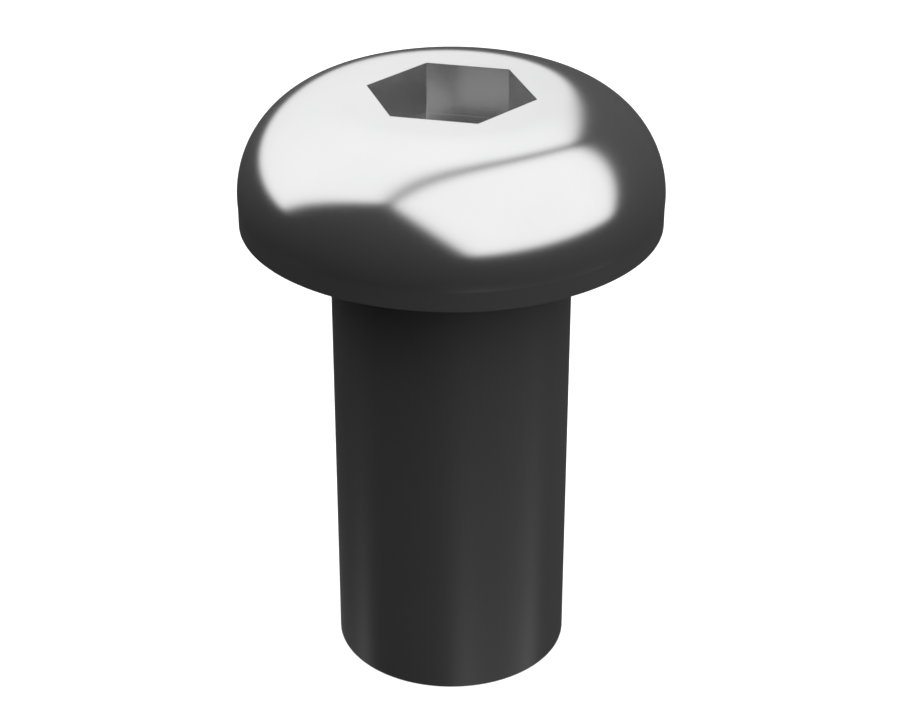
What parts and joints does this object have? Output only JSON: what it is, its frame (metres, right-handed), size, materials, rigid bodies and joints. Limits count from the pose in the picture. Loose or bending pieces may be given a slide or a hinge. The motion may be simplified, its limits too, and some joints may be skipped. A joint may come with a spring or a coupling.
{
  "type": "socket pan head bolt",
  "caption": "Steel bolt with a low rounded head, a hexagon socket in its flat top and a plain cylindrical shank with a flat end; clamps parts under its head.",
  "frame": {"origin": "centre of the bearing face, the flat underside of the head, on the bolt's axis", "axes": "+Z along the bolt's axis from the shank's end towards the head; X through two opposite corners of the hexagon socket; Y square to two of its flats"},
  "size_m": [0.0174, 0.0174, 0.0255],
  "materials": {
    "dark_steel": "satin"
  },
  "bodies": {
    "root": {"bolt": "dark_steel"}
  },
  "joints": []
}
